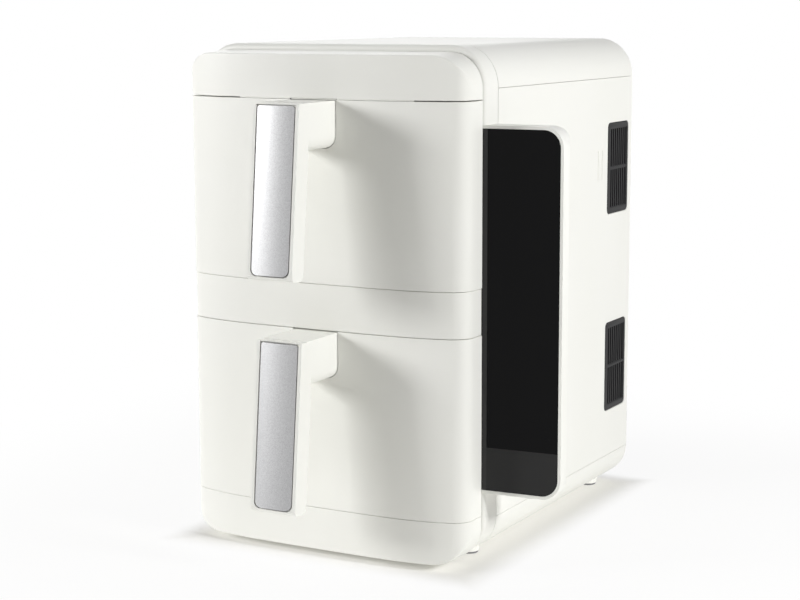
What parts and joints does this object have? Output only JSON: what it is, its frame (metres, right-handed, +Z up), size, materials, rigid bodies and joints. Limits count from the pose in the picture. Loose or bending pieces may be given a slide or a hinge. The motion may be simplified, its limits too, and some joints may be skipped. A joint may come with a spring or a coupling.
{
  "type": "air fryer",
  "caption": "Stacked two-drawer air fryer with leaning front handles, a side wing holding a black touch panel, side vents and pull-out pans.",
  "frame": {"origin": "middle of the base of the whole object's box, on the table", "axes": "+Z up, -Y towards the user in front of the drawers, +X to the user's right, where the control wing is"},
  "size_m": [0.311, 0.3908, 0.394],
  "materials": {
    "white_abs": "satin moulded ABS, warm white",
    "black_glass": "gloss black printed glass",
    "charcoal_plastic": "matte heat-resistant plastic",
    "silver_paint": "fine metallic silver paint",
    "aluminised_steel": "aluminised sheet",
    "zinc_steel": "zinc-plated",
    "heater_steel": "heat-oxidised sheath",
    "nonstick": "dark non-stick coat",
    "silicone": "moulded silicone",
    "circuit_board": "solder mask"
  },
  "bodies": {
    "housing": {"front_frame": "white_abs", "top_cover": "white_abs", "side_panel_left": "white_abs", "side_panel_right": "white_abs", "base_pan": "white_abs", "rear_cover": "charcoal_plastic", "bulkhead": "aluminised_steel", "top_fascia": "white_abs", "middle_fascia": "white_abs", "base_fascia": "white_abs", "control_glass": "black_glass", "control_board": "circuit_board", "power_board": "circuit_board", "upper_vent_right": "charcoal_plastic", "lower_vent_right": "charcoal_plastic", "upper_vent_left": "charcoal_plastic", "lower_vent_left": "charcoal_plastic", "feet": "white_abs", "foot_pads": "silicone", "cord_gland": "charcoal_plastic", "rear_screws": "zinc_steel", "base_screws": "zinc_steel", "fascia_screws": "zinc_steel", "upper_chamber": "aluminised_steel", "upper_rails": "aluminised_steel", "upper_seal": "silicone", "upper_heater": "heater_steel", "upper_fan_guard": "aluminised_steel", "upper_probe": "zinc_steel", "upper_motor": "zinc_steel", "lower_chamber": "aluminised_steel", "lower_rails": "aluminised_steel", "lower_seal": "silicone", "lower_heater": "heater_steel", "lower_fan_guard": "aluminised_steel", "lower_probe": "zinc_steel", "lower_motor": "zinc_steel"},
    "upper_drawer": {"upper_drawer_front": "white_abs", "upper_drawer_back": "charcoal_plastic", "upper_handle": "white_abs", "upper_handle_plate": "silver_paint", "upper_pan": "nonstick", "upper_drawer_screws": "zinc_steel"},
    "upper_crisper": {"upper_crisper_plate": "nonstick", "upper_bumpers": "silicone"},
    "upper_fan_rotor": {"upper_fan": "zinc_steel", "upper_fan_shaft": "zinc_steel", "upper_cooling_fan": "charcoal_plastic"},
    "lower_drawer": {"lower_drawer_front": "white_abs", "lower_drawer_back": "charcoal_plastic", "lower_handle": "white_abs", "lower_handle_plate": "silver_paint", "lower_pan": "nonstick", "lower_drawer_screws": "zinc_steel"},
    "lower_crisper": {"lower_crisper_plate": "nonstick", "lower_bumpers": "silicone"},
    "lower_fan_rotor": {"lower_fan": "zinc_steel", "lower_fan_shaft": "zinc_steel", "lower_cooling_fan": "charcoal_plastic"}
  },
  "joints": [
    {"name": "upper_drawer_slide", "type": "slide", "parent": "housing", "child": "upper_drawer", "axis": [0, -1, 0], "range_m": [0, 0.2]},
    {"name": "upper_crisper_lift", "type": "slide", "parent": "upper_drawer", "child": "upper_crisper", "axis": [0, 0, 1], "range_m": [0, 0.06]},
    {"name": "upper_fan_spin", "type": "hinge", "parent": "housing", "child": "upper_fan_rotor", "pos_m": [-0.0305, 0.15937, 0.284], "axis": [0, 1, 0], "continuous": true},
    {"name": "lower_drawer_slide", "type": "slide", "parent": "housing", "child": "lower_drawer", "axis": [0, -1, 0], "range_m": [0, 0.2]},
    {"name": "lower_crisper_lift", "type": "slide", "parent": "lower_drawer", "child": "lower_crisper", "axis": [0, 0, 1], "range_m": [0, 0.06]},
    {"name": "lower_fan_spin", "type": "hinge", "parent": "housing", "child": "lower_fan_rotor", "pos_m": [-0.0305, 0.15937, 0.109], "axis": [0, 1, 0], "continuous": true}
  ]
}
